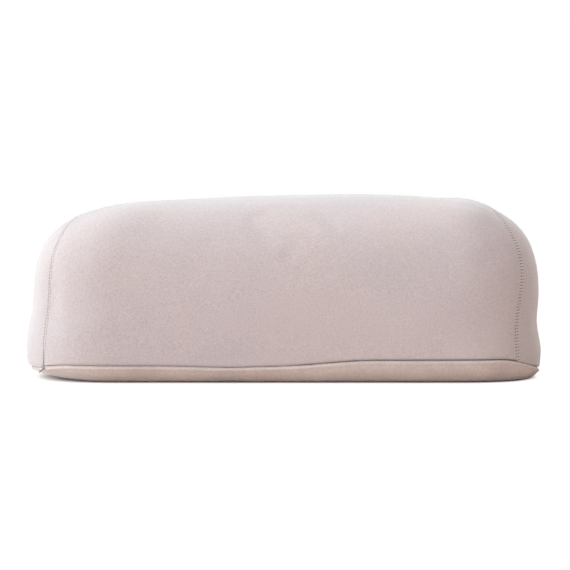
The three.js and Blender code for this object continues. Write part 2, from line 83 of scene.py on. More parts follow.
END_SEAM_POWER = 6.1
SEAM_BOW = 0.012  # the right end seam bows outwards at half height by this share

# ---- Cover ---------------------------------------------------------------------------------------
KNIT_THICKNESS = 1.2
LINER_OUTER = 3.4
LINER_INNER = 4.1
FOAM_OUTER = 4.8
SEAM_GAP = 0.09
PITCH = 2.2  # stitch pitch
ROW_SPACING = 2.6  # between the two stitch rows of an end seam
ZIP_HALF = 135
ZIP_Z = 16
ZIP_VALLEY = 3.6
ZIP_OPENING = 9.6
CHAIN_Y = DEPTH / 2 - ZIP_VALLEY

rng = np.random.default_rng(7)


def smooth(low, high, value):
    t = np.clip((value - low) / (high - low), 0, 1)
    return t * t * (3 - 2 * t)


def bell(value, middle, width):
    return np.exp(-(((value - middle) / width) ** 2))


def half_span(full, power, z, layer):
    rise = np.clip(z / (HEIGHT - layer), 0, 1)
    return (full - layer) * (1 - rise**CROWN_POWER) ** (1 / power)


def curl(x, y):
    """How far the turned edge reaches under the cushion, by place along the edge."""
    front = smooth(60, -60, y)
    wide = FRONT_CURL + (LEFT_CURL - FRONT_CURL) * smooth(-120, -180, x)
    wide = wide + (RIGHT_CURL - FRONT_CURL) * smooth(120, 180, x)
    return REAR_CURL + (wide - REAR_CURL) * front


def foot_inset(x, y, z, layer):
    """How far the side lies inside the fullest section, towards the base."""
    above = SEAM_INSET * ((BULGE_Z - z) / (BULGE_Z - SEAM_Z)) ** 2
    turn = np.clip((SEAM_Z - z) / (SEAM_Z - layer), 0, 1)
    below = SEAM_INSET + curl(x, y) * (1 - np.sqrt(1 - turn**2))
    return np.where(z >= BULGE_Z, 0, np.where(z >= SEAM_Z, above, below))


def end_inset(x, z):
    """The ends are drawn in between the foot, where they flare, and the shoulder."""
    left = x < 0
    foot, waist, top = (np.where(left, *t) for t in (FOOT_TRIMS, WAIST_TRIMS, TOP_TRIMS))
    start, stop = (np.where(left, *t) for t in WAIST_STARTS)
    return (
        foot
        + (waist - foot) * smooth(start, stop, z)
        + (top - waist) * smooth(SHOULDER_START, SHOULDER_END, z)
    )


def zip_valley(x, z):
    along = 1 - smooth(ZIP_HALF + 7, ZIP_HALF + 27, np.abs(x))
    return along * smooth(1, 6, z) * (1 - smooth(26, 44, z))


def lean(z):
    return LEAN * np.clip(z / HEIGHT, 0, 1) * smooth(20, 60, z)


def is_inside(x, y, z, layer=0):
    """True inside the face of a layer that lies this deep in the cushion."""
    lifted = 1 + TILT * x / (WIDTH / 2) * smooth(0, 40, z)
    z = z / lifted
    x = x - lean(z)
    rear = y > CREST_Y
    inset = foot_inset(x, y, z, layer)
    end_power = np.where(x < 0, *END_POWERS)
    half_x = half_span(WIDTH / 2, end_power, z, layer) - inset - end_inset(x, z)
    full_y = np.where(rear, REAR_HALF, FRONT_HALF)
    power_y = np.where(rear, REAR_POWER, FRONT_POWER)
    half_y = half_span(full_y, power_y, z, layer) - inset
    valley = np.where(rear, zip_valley(x, z), 0)
    corner_x = np.maximum(half_x * CORNER_SHARE_X, 1e-6)
    corner_y = np.maximum(half_y * CORNER_SHARE_Y, 1e-6)
    u = np.maximum(0, np.abs(x) - (half_x - corner_x)) / corner_x
    v = np.maximum(0, np.abs(y - CREST_Y) - (half_y - corner_y)) / corner_y
    inside = (u**CORNER_POWER + v**CORNER_POWER <= 1) & (z < HEIGHT - layer) & (z > layer)
    wall = CREST_Y + half_y
    valley_wall = np.minimum(wall, CHAIN_Y - layer)
    return inside & ((valley == 0) | (y <= wall + (valley_wall - wall) * valley))


def find_face(path, shape, layer=0):
    """The point of each path that crosses the face of a layer. A path leaves the inside once."""
    near = np.zeros(shape)
    far = np.full(shape, float(WIDTH))
    for _ in range(32):
        middle = (near + far) / 2
        inside = is_inside(*path(middle), layer)
        near = np.where(inside, middle, near)
        far = np.where(inside, far, middle)
    return np.stack(path(near), -1)


def seam_x(share, z):
    """x of the end seam on the side that share points to, times share."""
    right = share > 0
    low = np.where(right, SEAM_LOWS[1], SEAM_LOWS[0])
    inward = np.where(right, SEAM_LEANS[1], SEAM_LEANS[0])
    rise = np.clip(z / HEIGHT, 0, 1)
    bow = SEAM_BOW * bell(z, 78, 22) * right
    return share * (WIDTH / 2) * (low + bow - inward * rise**END_SEAM_POWER)


def base_seam_z(x, y):
    """The base seam wanders a little along the front, where the cover isn't quite even."""
    front = smooth(60, -60, y)
    wander = 3.9 * smooth(-5, 65, x) - 1.2 * bell(x, -38, 26) - 0.9
    corners = 10 * np.clip((x - 150) / 38, 0, 1) ** 2 + 4.5 * smooth(-150, -186, x)
    return SEAM_Z + front * (wander - corners)


def zip_window(x, y):
    return (1 - smooth(ZIP_HALF - 0.5, ZIP_HALF + 3.5, np.abs(x))) * (y > 0)


def upper_edge_z(x, y):
    """Lower edge of the crown and end panels: the base seam, or the upper side of the zip."""
    rise = ZIP_Z + ZIP_OPENING / 2 - SEAM_Z
    return base_seam_z(x, y) + rise * zip_window(x, y)


def lower_edge_z(x, y):
    """Upper edge of the base panel."""
    drop = SEAM_Z - (ZIP_Z - ZIP_OPENING / 2)
    return base_seam_z(x, y) - SEAM_GAP - (drop - SEAM_GAP) * zip_window(x, y)


def arch_path(share, angle, shift=0):
    """Rays of the crown's sections: angle 0 is the rear foot, pi the front foot."""
    side = np.sign(share)
    foot_x = seam_x(share, SEAM_Z)
    foot_y = np.where(angle > math.pi / 2, CREST_Y - FRONT_HALF, CREST_Y + REAR_HALF)
    level = np.abs(np.cos(angle))
    lower = upper_edge_z(foot_x, foot_y) * level + SEAM_Z * (1 - level)

    def path(r):
        z = lower + r * np.sin(angle)
        x = seam_x(share, z) + lean(z) + shift * side
        return x, CREST_Y + r * np.cos(angle), z

    return path


def graded(length, step, fine):
    """Distances from 0 to length, fine near 0 and then step apart."""
    near = fine * np.arange(8) ** 1.35
    near = near[near < length / 3]
    count = max(2, int(round((length - near[-1]) / step)))
    return np.concatenate([near[:-1], np.linspace(near[-1], length, count + 1)])


def both_ends(length, step, fine):
    half = graded(length / 2, step, fine)
    return np.concatenate([half, (length - half[:-1])[::-1]])


def arch_angles(step, fine):
    """Angles that space the arch by distance along its middle section, closer at both feet."""
    dense = np.linspace(0, math.pi, 1600)
    points = find_face(arch_path(np.zeros_like(dense), dense), dense.shape)
    along = np.concatenate([[0], np.cumsum(np.linalg.norm(np.diff(points, axis=0), axis=1))])
    return np.interp(both_ends(along[-1], step, fine), along, dense)


STEP = 1.9
FINE = 0.32  # grid step right at a seam
END_REACH = 110  # about how far an end panel runs from its seam to its foot
ANGLES = arch_angles(STEP, FINE)
RIM_LIFT = 0.02  # keeps the lowest ring of the turned edge off the flat underside
BASE_RINGS = 26  # rings across the flat underside


def column_shares():
    half = (WIDTH / 2) * 0.87
    return both_ends(2 * half, STEP, FINE) / half - 1


def crown_grid():
    angle, share = np.meshgrid(ANGLES, column_shares(), indexing="ij")
    return find_face(arch_path(share, angle, -SEAM_GAP / 2), angle.shape)


def end_grid(side):
    """Rows from the end seam (first) to the foot, along the rays between the two."""
    rows = both_ends(1, STEP / END_REACH, FINE / END_REACH)
    edge = arch_path(np.full(ANGLES.shape, float(side)), ANGLES, SEAM_GAP / 2)
    seam = find_face(edge, ANGLES.shape)
    origin = np.array([side * WIDTH * 0.27, CREST_Y, SEAM_Z])
    seam_dir = seam - origin
    ends = [seam[0], seam[-1]]
    share = np.linspace(0, 1, len(ANGLES))[:, None]
    flat_y = ends[0][1] + (ends[1][1] - ends[0][1]) * smooth(0, 1, share[:, 0])
    bulge = np.sin(np.pi * share[:, 0]) ** 0.5
    base_x = side * (abs(ends[0][0]) + (WIDTH / 2 - abs(ends[0][0]) + 30) * bulge)
    foot_dir = np.stack([base_x, flat_y, np.full_like(flat_y, SEAM_Z)], -1) - origin
    foot_dir /= np.linalg.norm(foot_dir, axis=1)[:, None]
    foot_path = lambda r: tuple(origin[k] + foot_dir[:, k] * r for k in range(3))
    foot = find_face(foot_path, ANGLES.shape)
    foot_z = base_seam_z(foot[:, 0], foot[:, 1])
    foot_dir = np.stack([foot[:, 0], foot[:, 1], foot_z], -1) - origin
    foot_dir /= np.linalg.norm(foot_dir, axis=1)[:, None]
    seam_dir /= np.linalg.norm(seam_dir, axis=1)[:, None]
    t = rows[None, :, None]
    direction = seam_dir[:, None] * (1 - t) + foot_dir[:, None] * t
    direction /= np.linalg.norm(direction, axis=-1)[..., None]
    path = lambda r: tuple(origin[k] + direction[..., k] * r for k in range(3))
    return find_face(path, direction.shape[:2])


def base_grid():
    """Rings from the base seam (first) down the turned edge and in under the cushion."""
    dense = np.linspace(0, 2 * math.pi, 4001)
    level = lambda turn, z: lambda r: (r * np.cos(turn), CREST_Y + r * np.sin(turn), z)
    rim = find_face(level(dense, np.full_like(dense, SEAM_Z)), dense.shape)
    along = np.concatenate([[0], np.cumsum(np.linalg.norm(np.diff(rim, axis=0), axis=1))])
    count = int(along[-1] / STEP)
    turn = np.interp(np.linspace(0, along[-1], count + 1), along, dense)
    rim = find_face(level(turn, np.full_like(turn, SEAM_Z)), turn.shape)
    top = lower_edge_z(rim[:, 0], rim[:, 1])
    rings = []
    for drop in graded(1, 0.045, 0.02):
        z = RIM_LIFT + top * (1 - np.sin(np.pi / 2 * drop))
        rings.append(find_face(level(turn, z), turn.shape))
    rim = rings[-1]
    middle = np.array([0, CREST_Y, 0])
    for share in np.linspace(0.97, 0.02, BASE_RINGS):
        ring = middle + (rim - middle) * share
        ring[:, 2] = 0
        rings.append(ring)
    return np.stack(rings)


# ---- Meshes --------------------------------------------------------------------------------------
def grid_normals(points, loop=False):
    if loop:
        wrapped = np.concatenate([points[:, -2:-1], points, points[:, 1:2]], 1)
        du = np.gradient(wrapped, axis=1)[:, 1:-1]
    else:
        du = np.gradient(points, axis=1)
    normal = np.cross(np.gradient(points, axis=0), du)
    length = np.linalg.norm(normal, axis=-1, keepdims=True)
    normal = normal / np.maximum(length, 1e-9)
    if not loop:  # rows that meet in a corner point take their neighbour's normal
        for end, inner in ((0, 1), (-1, -2)):
            if length[end].min() < 1e-6:
                normal[end] = normal[inner]
    return normal


def along_rows(points):
    """Distance along each grid line, from the first row."""
    steps = np.linalg.norm(np.diff(points, axis=0), axis=-1)
    return np.concatenate([np.zeros((1, points.shape[1])), np.cumsum(steps, 0)])


def along_columns(points):
    return along_rows(points.transpose(1, 0, 2)).T


def grid_faces(rows, columns, offset=0, flip=False):
    index = np.arange(rows * columns).reshape(rows, columns) + offset
    a, b = index[:-1, :-1].ravel(), index[1:, :-1].ravel()
    c, d = index[1:, 1:].ravel(), index[:-1, 1:].ravel()
    return np.stack([d, c, b, a] if flip else [a, b, c, d], -1)


def make_mesh(name, points, faces, uv=None):
    mesh = bpy.data.meshes.new(name)
    mesh.from_pydata((np.asarray(points) * MM).tolist(), [], [list(map(int, f)) for f in faces])
    if uv is not None:
        layer = mesh.uv_layers.new(name="UVMap")
        loops = np.zeros(len(mesh.loops), np.int32)
        mesh.loops.foreach_get("vertex_index", loops)
        layer.data.foreach_set("uv", (uv[loops] * MM).astype(np.float32).ravel())
    mesh.polygons.foreach_set("use_smooth", [True] * len(mesh.polygons))
    mesh.validate()
    mesh.update()
    piece = bpy.data.objects.new(name, mesh)
    bpy.context.scene.collection.objects.link(piece)
    return piece


def sheet_piece(name, outer, normals, thickness):
    """A closed sheet of knit: the outer grid, the inner face below it, and the rim."""
    rows, columns = outer.shape[:2]
    inner = outer - normals * thickness
    count = rows * columns
    index = np.arange(count).reshape(rows, columns)
    rim = np.concatenate([index[0, :-1], index[:-1, -1], index[-1, :0:-1], index[:0:-1, 0]])
    after = np.roll(rim, -1)
    rim_faces = np.stack([rim, after, after + count, rim + count], -1)
    faces = np.concatenate(
        [grid_faces(rows, columns), grid_faces(rows, columns, count, flip=True), rim_faces]
    )
    uv = np.stack([along_columns(outer), along_rows(outer)], -1).reshape(-1, 2)
    points = np.concatenate([outer.reshape(-1, 3), inner.reshape(-1, 3)])
    return make_mesh(name, points, faces, np.concatenate([uv, uv]))


def bowl_piece(name, outer, normals, thickness):
    """A closed bowl of knit from rings, the first at its rim and the last round its middle."""
    rows, columns = outer.shape[0], outer.shape[1] - 1
    inner = outer - normals * thickness
    index = np.arange(rows * columns).reshape(rows, columns)
    index = np.concatenate([index, index[:, :1]], 1)
    count = rows * columns
    a, b, c, d = index[:-1, :-1], index[1:, :-1], index[1:, 1:], index[:-1, 1:]
    wall = np.stack([k.ravel() for k in (a, b, c, d)], -1)
    rim = np.stack([index[0, :-1], index[0, 1:], index[0, 1:] + count, index[0, :-1] + count], -1)
    faces = np.concatenate([wall, wall[:, ::-1] + count, rim]).tolist()
    faces += [index[-1, :-1].tolist(), (index[-1, :-1][::-1] + count).tolist()]
    uv = np.stack([along_columns(outer), along_rows(outer)], -1)[:, :-1].reshape(-1, 2)
    points = np.concatenate([outer[:, :-1].reshape(-1, 3), inner[:, :-1].reshape(-1, 3)])
    return make_mesh(name, points, faces, np.concatenate([uv, uv]))


# ---- Cloth simulation ----------------------------------------------------------------------------
SIM_START = 1.6  # the cover starts this much smaller than its full form
SIM_CAP = 4.0  # and no point moves further than this
SIM_VOXEL = 5  # edge of the simulated mesh's faces
SIM_FRAMES = 20


def whole_body(layer, turn_count=180, climb_count=90):
    """A layer's closed face round the whole cushion, from rays out of its middle."""
    turns = np.linspace(0, 2 * math.pi, turn_count + 1)[:-1]
    climbs = np.linspace(-math.pi / 2, math.pi / 2, climb_count + 2)[1:-1]
    climb, turn = np.meshgrid(climbs, turns, indexing="ij")
    centre = (0, CREST_Y, 45)
    direction = (np.cos(climb) * np.cos(turn), np.cos(climb) * np.sin(turn), np.sin(climb))
    path = lambda r: tuple(c + d * r for c, d in zip(centre, direction))
    points = find_face(path, climb.shape, layer)
    rows, columns = climb.shape
    index = np.arange(rows * columns).reshape(rows, columns)
    index = np.concatenate([index, index[:, :1]], 1)
    a, b, c, d = index[:-1, :-1], index[:-1, 1:], index[1:, 1:], index[1:, :-1]
    faces = np.stack([x.ravel() for x in (a, b, c, d)], -1).tolist()
    faces += [index[0, :-1][::-1].tolist(), index[-1, :-1].tolist()]
    return points.reshape(-1, 3), faces


def seam_distance(points):
    """How far each point lies from the nearest seam, by x for the end seams, z for the base seam."""
    x, y, z = points.T
    ends = np.abs(x - lean(z) - seam_x(np.where(x > 0, 1.0, -1.0), z))
    base = np.abs(z - base_seam_z(x, y))
    return np.minimum(ends, base)


def read_points(mesh):
    points = np.zeros(len(mesh.vertices) * 3, np.float32)
    mesh.vertices.foreach_get("co", points)
    return points.reshape(-1, 3).astype(float) / MM


def simulate():
    """Inflates the sewn cover over the foam and returns its rest points and how far each swells."""
    body = make_mesh("sim_body", *whole_body(SIM_START))
    bpy.context.view_layer.objects.active = body
    body.select_set(True)
    remesh = body.modifiers.new("remesh", "REMESH")
    remesh.mode = "VOXEL"
    remesh.voxel_size = SIM_VOXEL * MM
    bpy.ops.object.modifier_apply(modifier=remesh.name)
    start = read_points(body.data)
    hold = 1 - smooth(2, 9, seam_distance(start))
    hold = np.maximum(hold, 1 - smooth(1, 7, start[:, 2]))
    group = body.vertex_groups.new(name="sewn")
    for i, weight in enumerate(hold):
        group.add([i], float(weight), "REPLACE")
    cloth = body.modifiers.new("cloth", "CLOTH")
    settings = cloth.settings
    settings.quality = 5
    settings.mass = 0.3
    settings.tension_stiffness = 12
    settings.compression_stiffness = 12
    settings.shear_stiffness = 4
    settings.bending_stiffness = 0.4
    settings.vertex_group_mass = "sewn"
    settings.pin_stiffness = 1
    settings.use_pressure = True
    settings.uniform_pressure_force = 4
    settings.effector_weights.gravity = 0
    cloth.point_cache.frame_start = 1
    cloth.point_cache.frame_end = SIM_FRAMES
    for step in range(1, SIM_FRAMES + 1):
        bpy.context.scene.frame_set(step)
    shown = body.evaluated_get(bpy.context.evaluated_depsgraph_get())
    end = read_points(shown.data)
    move = end - start
    length = np.linalg.norm(move, axis=1, keepdims=True)
    move *= np.minimum(1, SIM_CAP / np.maximum(length, 1e-9))
    bpy.context.scene.frame_set(1)
    bpy.data.objects.remove(body)
    return start, move


class Swell:
    """How far the simulated cover swells at any point, averaged from its nearest points."""

    def __init__(self):
        self.tree = None
        start, self.move = simulate()
        self.tree = KDTree(len(start))
        for i, point in enumerate(start):
            self.tree.insert(point, i)
        self.tree.balance()

    def along(self, points, normals):
        flat = points.reshape(-1, 3)
        facing = normals.reshape(-1, 3)
        if self.tree is None:
            rise = SIM_START * smooth(2, 22, seam_distance(flat)) * smooth(0, 9, flat[:, 2])
            return rise.reshape(points.shape[:-1])
        rise = np.zeros(len(flat))
        for i, point in enumerate(flat):
            found = self.tree.find_n(point, 6)
            index = [f[1] for f in found]
            weight = np.array([1 / (1 + f[2]) for f in found])
            rise[i] = (self.move[index] @ facing[i]) @ weight / weight.sum()
        return rise.reshape(points.shape[:-1])


swell = Swell()
SWELL_SHARE = 0.55  # the foam fills the cover, so only part of the swelling shows


# ---- Surface relief ------------------------------------------------------------------------------
def value_noise(points, size, seed):
    """Smooth noise from -1 to 1 with features of about this size."""
    grid = np.random.default_rng(seed).uniform(-1, 1, (16, 16, 16))
    p = points / size + 100.37
    cell = np.floor(p).astype(int)
    f = p - cell
    f = f * f * (3 - 2 * f)
    total = np.zeros(points.shape[:-1])
    for dx in (0, 1):
        for dy in (0, 1):
            for dz in (0, 1):
                corner = [(cell[..., k] + d) % 16 for k, d in enumerate((dx, dy, dz))]
                weight = 1.0
                for k, d in enumerate((dx, dy, dz)):
                    weight = weight * (f[..., k] if d else 1 - f[..., k])
                total += grid[corner[0], corner[1], corner[2]] * weight
    return total


def soft_relief(points):
    """Unevenness of the foam and the tension of the knit over it."""
    return 0.55 * value_noise(points, 62, 3) + 0.22 * value_noise(points, 24, 5)


def seam_puckers(points, to_seam):
    """Short ripples across the end seams where they climb over the shoulder."""
    x, y, z = points[..., 0], points[..., 1], points[..., 2]
    shoulder = smooth(85, 118, z)
    run = y + 0.6 * z
    wave = np.sin(run * 2 * math.pi / 11 + 2.2 * value_noise(points, 30, 11))
    return 0.2 * wave * shoulder * bell(to_seam, 7, 9) * (0.5 + 0.5 * value_noise(points, 26, 17))


def seam_roll(points, to_seam):
    """The butted edges of a flat seam dip a little, deeper at the foot of the left one."""
    x, y, z = points[..., 0], points[..., 1], points[..., 2]
    pinch = (x < 0) * (y < 0) * bell(z, 12, 9)
    dip = -(0.07 + 1.1 * pinch) * bell(to_seam, 0, 0.5 + 0.5 * pinch)
    return dip - 0.1 * bell(to_seam, 0, 5) + 0.05 * bell(to_seam, 3.4, 1.2)


def corner_hollows(points):
    """Shallow hollows above the foot at both front corners, and an upright one by the left seam."""
    x, y, z = points[..., 0], points[..., 1], points[..., 2]
    front = smooth(-50, -110, y)
    right = 2.2 * bell(x, 160, 38) * bell(z, 45, 25)
    left = 1.2 * bell(x, -165, 26) * bell(z, 45, 25)
    upright = 1.5 * bell(x, -162, 6) * bell(z, 56, 22)
    return -front * (right + left + upright)


def seam_ridge(points):
    """Both end seams hold the crown up in a soft ridge where they cross the crest."""
    x, z = points[..., 0], points[..., 2]
    right = 2.6 * bell(x, 137, 17)
    left = 1.8 * bell(x, -120, 32)
    return (left + right) * smooth(100, 122, z)


def foot_roll(points, to_foot):
    """The lower edge of a panel turns in to the base seam, more so towards the right."""
    depth = 1.4 + 0.9 * smooth(-20, 120, points[..., 0])
    return -depth * bell(to_foot, 0, 0.85) + 0.2 * bell(to_foot, 3.2, 2.2)


# ---- Panels --------------------------------------------------------------------------------------
def panel_rise(points, normals, to_seam, to_foot):
    """How far a panel's face stands off the plain form: the swelling, then the relief over it."""
    rise = SWELL_SHARE * (swell.along(points, normals) - SIM_START)
    rise += soft_relief(points) * smooth(0, 10, to_seam) * smooth(0, 10, to_foot)
    rise += seam_puckers(points, to_seam) + seam_roll(points, to_seam) + foot_roll(points, to_foot)
    rise += corner_hollows(points) + seam_ridge(points)
    return rise


def crown_surface():
    points = crown_grid()
    normals = grid_normals(points)
    across = along_columns(points)
    to_seam = np.minimum(across, across[:, -1:] - across)
    down = along_rows(points)
    to_foot = np.minimum(down, down[-1:] - down)
    rise = panel_rise(points, normals, to_seam, to_foot)
    rise *= 1 - zip_valley(points[..., 0], points[..., 2]) * (points[..., 1] > 0) * (to_foot > 4)
    return points + normals * rise[..., None], normals


def end_surface(side):
    points = end_grid(side)
    normals = grid_normals(points)
    if (normals[..., 0] * side).mean() < 0:
        normals = -normals
    to_seam = along_columns(points)
    to_foot = to_seam[:, -1:] - to_seam
    rise = panel_rise(points, normals, to_seam, to_foot)
    return points + normals * rise[..., None], normals


def base_surface():
    points = base_grid()
    normals = grid_normals(points, loop=True)
    if normals[3, :, 2].mean() > 0:
        normals = -normals
    down = along_rows(points)
    side = smooth(0, 5, points[..., 2])
    rise = -1.3 * bell(down, 0, 0.6) + 0.5 * bell(down, 1.6, 0.8)
    rise += 0.5 * value_noise(points, 17, 23) * smooth(3, 7, down)
    rise *= side
    return points + normals * rise[..., None], normals


def orient(piece):
    """Turns the faces of a closed mesh outwards."""
    work = bmesh.new()
    work.from_mesh(piece.data)
    bmesh.ops.remove_doubles(work, verts=work.verts, dist=2e-6)
    bmesh.ops.dissolve_degenerate(work, dist=1e-7, edges=work.edges)
    bmesh.ops.recalc_face_normals(work, faces=work.faces)
    work.to_mesh(piece.data)
    work.free()


pieces = {}
surfaces = {}
outer, normals = crown_surface()
surfaces["crown"] = outer, normals
pieces["crown_panel"] = sheet_piece("crown_panel", outer, normals, KNIT_THICKNESS)
for side, label in ((-1, "left"), (1, "right")):
    outer, normals = end_surface(side)
    surfaces["end_" + label] = outer, normals
    pieces["end_panel_" + label] = sheet_piece(
        "end_panel_" + label, outer, normals, KNIT_THICKNESS
    )
outer, normals = base_surface()
surfaces["base"] = outer, normals
pieces["base_panel"] = bowl_piece("base_panel", outer, normals, KNIT_THICKNESS)
for piece in pieces.values():
    orient(piece)
    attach(piece, "cushion")
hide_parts("cover_crown_panel")
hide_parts("cover_end_panel_left")
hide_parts("cover_end_panel_right")
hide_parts("cover_base_panel")


# ---- Foam and liner ------------------------------------------------------------------------------
def layer_piece(name, node, layers):
    """A closed body from the outermost of these layers, hollow down to the next one."""
    points, faces = [], []
    for number, layer in enumerate(layers):
        face_points, layer_faces = whole_body(layer, 160, 80)
        first = sum(len(p) for p in points)
        step = -1 if number else 1
        faces += [[i + first for i in face[::step]] for face in layer_faces]
        points.append(face_points)
    piece = make_mesh(name, np.concatenate(points), faces)
    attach(piece, "cushion")
    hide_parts(node)
    return piece


foam = layer_piece("foam_block", "foam_core", [FOAM_OUTER])
liner = layer_piece("liner_sleeve", "foam_liner", [LINER_OUTER, LINER_INNER])


# ---- Stitches ------------------------------------------------------------------------------------
def resample(line, step):
    """Evenly spaced points along a line of points with values beside them."""
    along = np.concatenate([[0], np.cumsum(np.linalg.norm(np.diff(line[:, :3], axis=0), axis=1))])
    count = max(1, int(round(along[-1] / step)))
    at = np.linspace(0, along[-1], count + 1)
    return np.stack([np.interp(at, along, line[:, k]) for k in range(line.shape[1])], 1)


def line_on(surface, distances, wanted):
    """The line on a surface where the distance along each grid row reaches the wanted value."""
    points, normals = surface
    found = []
    for row in range(points.shape[0]):
        d = distances[row]
        if d[-1] < wanted:
            continue
        values = np.concatenate([points[row], normals[row]], 1)
        found.append([np.interp(wanted, d, values[:, k]) for k in range(6)])
    return np.array(found)


STITCH_SIDES = 6
THREAD_RADIUS = 0.28
TOPSTITCH_RADIUS, TOPSTITCH_PITCH = 0.3, 2.8
SLIT_RADIUS, SLIT_PITCH, SLIT_SLANT = 0.2, 4, 1.4
HOLE_SIDES = 8
HOLE_PROFILE = ((1, -0.12), (1, 0.03), (0.55, 0.06))  # radius, height of each ring
STITCH_PROFILE = ((0, 0.35), (0.12, 0.85), (0.5, 1), (0.88, 0.85), (1, 0.35))  # along, radius


def needle_hole_painted_shade(name, line, radius, pitch):
    """Small dark dimples where the needle passed, at the ends of the stitches; their near-black
    colour is painted shade, for the shadow inside each hole.
    """
    points, faces = [], []
    for mark in resample(line, pitch):
        out = mark[3:] / np.linalg.norm(mark[3:])
        side = np.cross(out, [0, 0, 1.0] if abs(out[2]) < 0.9 else [1.0, 0, 0])
        side /= np.linalg.norm(side)
        other = np.cross(out, side)
        first = len(points)
        for size, height in HOLE_PROFILE:
            for k in range(HOLE_SIDES):
                turn = 2 * math.pi * k / HOLE_SIDES
                spoke = side * math.cos(turn) + other * math.sin(turn)
                points.append(mark[:3] + spoke * radius * size + out * height)
        for ring in range(first, first + 2 * HOLE_SIDES, HOLE_SIDES):
            for k in range(HOLE_SIDES):
                a, b = ring + k, ring + (k + 1) % HOLE_SIDES
                faces.append((a, b, b + HOLE_SIDES, a + HOLE_SIDES))
        faces.append(tuple(first + k for k in range(HOLE_SIDES))[::-1])
        faces.append(tuple(first + 2 * HOLE_SIDES + k for k in range(HOLE_SIDES)))
    piece = make_mesh(name, points, faces)
    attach(piece, "cushion")
    return piece


def stitch_row(name, line, radius, pitch, fill=0.72, sink=0.35, slant=0.0):
    """Short threads end to end along a line with normals, each dipping into its needle holes."""
    marks = resample(line, pitch)
    points, faces = [], []
    for number in range(len(marks) - 1):
        here, there = marks[number], marks[number + 1]
        out = here[3:] + there[3:]
        out = out / np.linalg.norm(out)
        run = there[:3] - here[:3]
        side = np.cross(out, run)
        side /= np.linalg.norm(side)
        jitter = rng.uniform(-0.06, 0.06, 2)
        skew = slant + jitter[0]
        first = len(points)
        for along, size in STITCH_PROFILE:
            share = 0.5 + (along - 0.5) * fill
            middle = here[:3] + run * share + side * (along - 0.5) * skew
            arch = 1 - (2 * along - 1) ** 2
            middle = middle + out * radius * (arch * 1.1 - sink + jitter[1])
            for k in range(STITCH_SIDES):
                turn = 2 * math.pi * k / STITCH_SIDES
                spoke = side * math.cos(turn) + out * math.sin(turn)
                points.append(middle + spoke * radius * size)
        rings = len(STITCH_PROFILE)
        for ring in range(rings - 1):
            for k in range(STITCH_SIDES):
                a = first + ring * STITCH_SIDES + k
                b = first + ring * STITCH_SIDES + (k + 1) % STITCH_SIDES
                faces.append((a, b, b + STITCH_SIDES, a + STITCH_SIDES))
        faces.append(tuple(first + k for k in range(STITCH_SIDES))[::-1])
        last = first + (rings - 1) * STITCH_SIDES
        faces.append(tuple(last + k for k in range(STITCH_SIDES)))
    piece = make_mesh(name, points, faces)
    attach(piece, "cushion")
    return piece


# Radii of the discs of painted needle-hole shade, by seam and row.
HOLE_RADII = {
    ("left", "inner"): 0.24,
    ("left", "outer"): 0.2,
    ("right", "inner"): 0.56,
    ("right", "outer"): 0.42,
}
threads = []
hole_shades = []
crown = surfaces["crown"]
across = along_columns(crown[0])
for side, label in ((-1, "left"), (1, "right")):
    from_seam = across if side < 0 else (across[:, -1:] - across)[:, ::-1]
    turned = crown if side < 0 else (crown[0][:, ::-1], crown[1][:, ::-1])
    inner = line_on(turned, from_seam, ROW_SPACING / 2 - SEAM_GAP / 2)
    end = surfaces["end_" + label]
    outer = line_on(end, along_columns(end[0]), ROW_SPACING / 2 - SEAM_GAP / 2)
    for line, row in ((inner, "inner"), (outer, "outer")):
        piece = stitch_row("seam_stitches_" + label + "_" + row, line, THREAD_RADIUS, PITCH)
        radius = HOLE_RADII[label, row]
        hole_shades.append(needle_hole_painted_shade("needle_hole_painted_shade_" + label + "_" + row, line, radius, PITCH))
        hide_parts("end_seam_thread_" + label + "_" + row)
        threads.append(piece)

rim = np.concatenate([surfaces["base"][0][2], surfaces["base"][1][2]], 1)
rim[:, 2] += SEAM_GAP
in_window = zip_window(rim[:, 0], rim[:, 1]) > 0
start = int(np.argmax(in_window))
rim = np.roll(rim[:-1], -start, axis=0)
rim = rim[zip_window(rim[:, 0], rim[:, 1]) == 0]
rim[:, :2] -= rim[:, 3:5] * 0.4
piece = stitch_row("base_seam_stitches", rim, THREAD_RADIUS, PITCH)
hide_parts("base_seam_thread")
threads.append(piece)

EDGE_ROW = 2.0  # from the edge of a panel to its row of stitches along the zip
turned = (crown[0].transpose(1, 0, 2), crown[1].transpose(1, 0, 2))
upper = line_on(turned, along_rows(crown[0]).T, EDGE_ROW)
base = surfaces["base"]
lower = line_on(
    (base[0].transpose(1, 0, 2), base[1].transpose(1, 0, 2)), along_rows(base[0]).T, EDGE_ROW
)
for line, label in ((upper, "upper"), (lower, "lower")):
    line = line[(np.abs(line[:, 0]) < ZIP_HALF) & (line[:, 1] > 0)]
    line = line[np.argsort(line[:, 0])]
    piece = stitch_row("zip_stitches_" + label, line, TOPSTITCH_RADIUS, TOPSTITCH_PITCH)
    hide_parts("zip_topstitch_" + label)
    threads.append(piece)

SLIT_HALF, SLIT_Z = 60, 70
at = np.linspace(-SLIT_HALF, SLIT_HALF, 60)
slit = find_face(lambda r: (at, CREST_Y + r, np.full_like(at, SLIT_Z)), at.shape, LINER_OUTER)
slit = np.concatenate([slit, np.tile([0, 1, 0], (len(at), 1))], 1)
piece = stitch_row("liner_stitches", slit, SLIT_RADIUS, SLIT_PITCH, slant=SLIT_SLANT)
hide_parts("liner_closing_stitch")
threads.append(piece)

